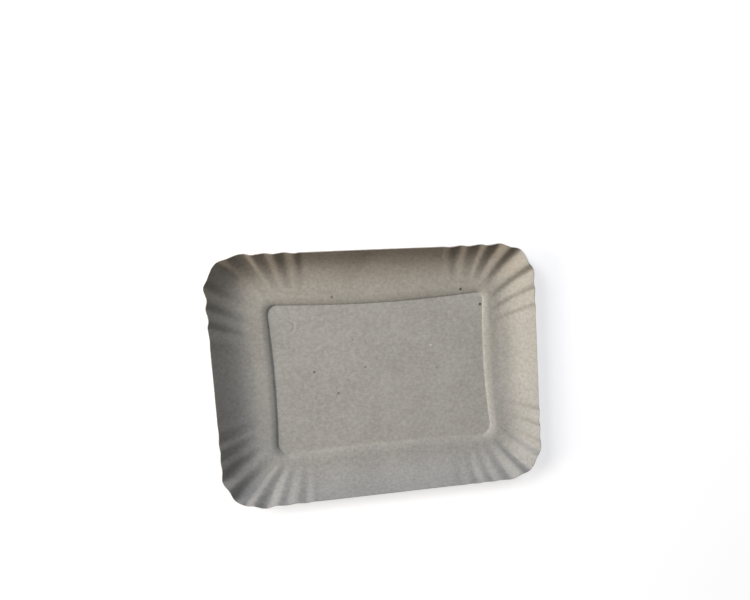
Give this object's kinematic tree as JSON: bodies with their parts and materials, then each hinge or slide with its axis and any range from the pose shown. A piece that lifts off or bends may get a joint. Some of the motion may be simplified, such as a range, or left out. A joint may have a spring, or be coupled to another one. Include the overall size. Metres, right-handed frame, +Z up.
{
  "type": "cardboard food tray",
  "caption": "Shallow rectangular tray pressed from one sheet of grey recycled board, with a sunken panel, a ledge and a sloping wall fluted at its corners, for serving food.",
  "frame": {"origin": "centre of the panel's underside, on the surface that the tray lies on", "axes": "+X along the long side, +Y along the short side, +Z up, out of the tray's open side"},
  "size_m": [0.2014, 0.1514, 0.0148],
  "materials": {
    "greyboard": "matte uncoated"
  },
  "bodies": {
    "root": {"tray": "greyboard"}
  },
  "joints": []
}
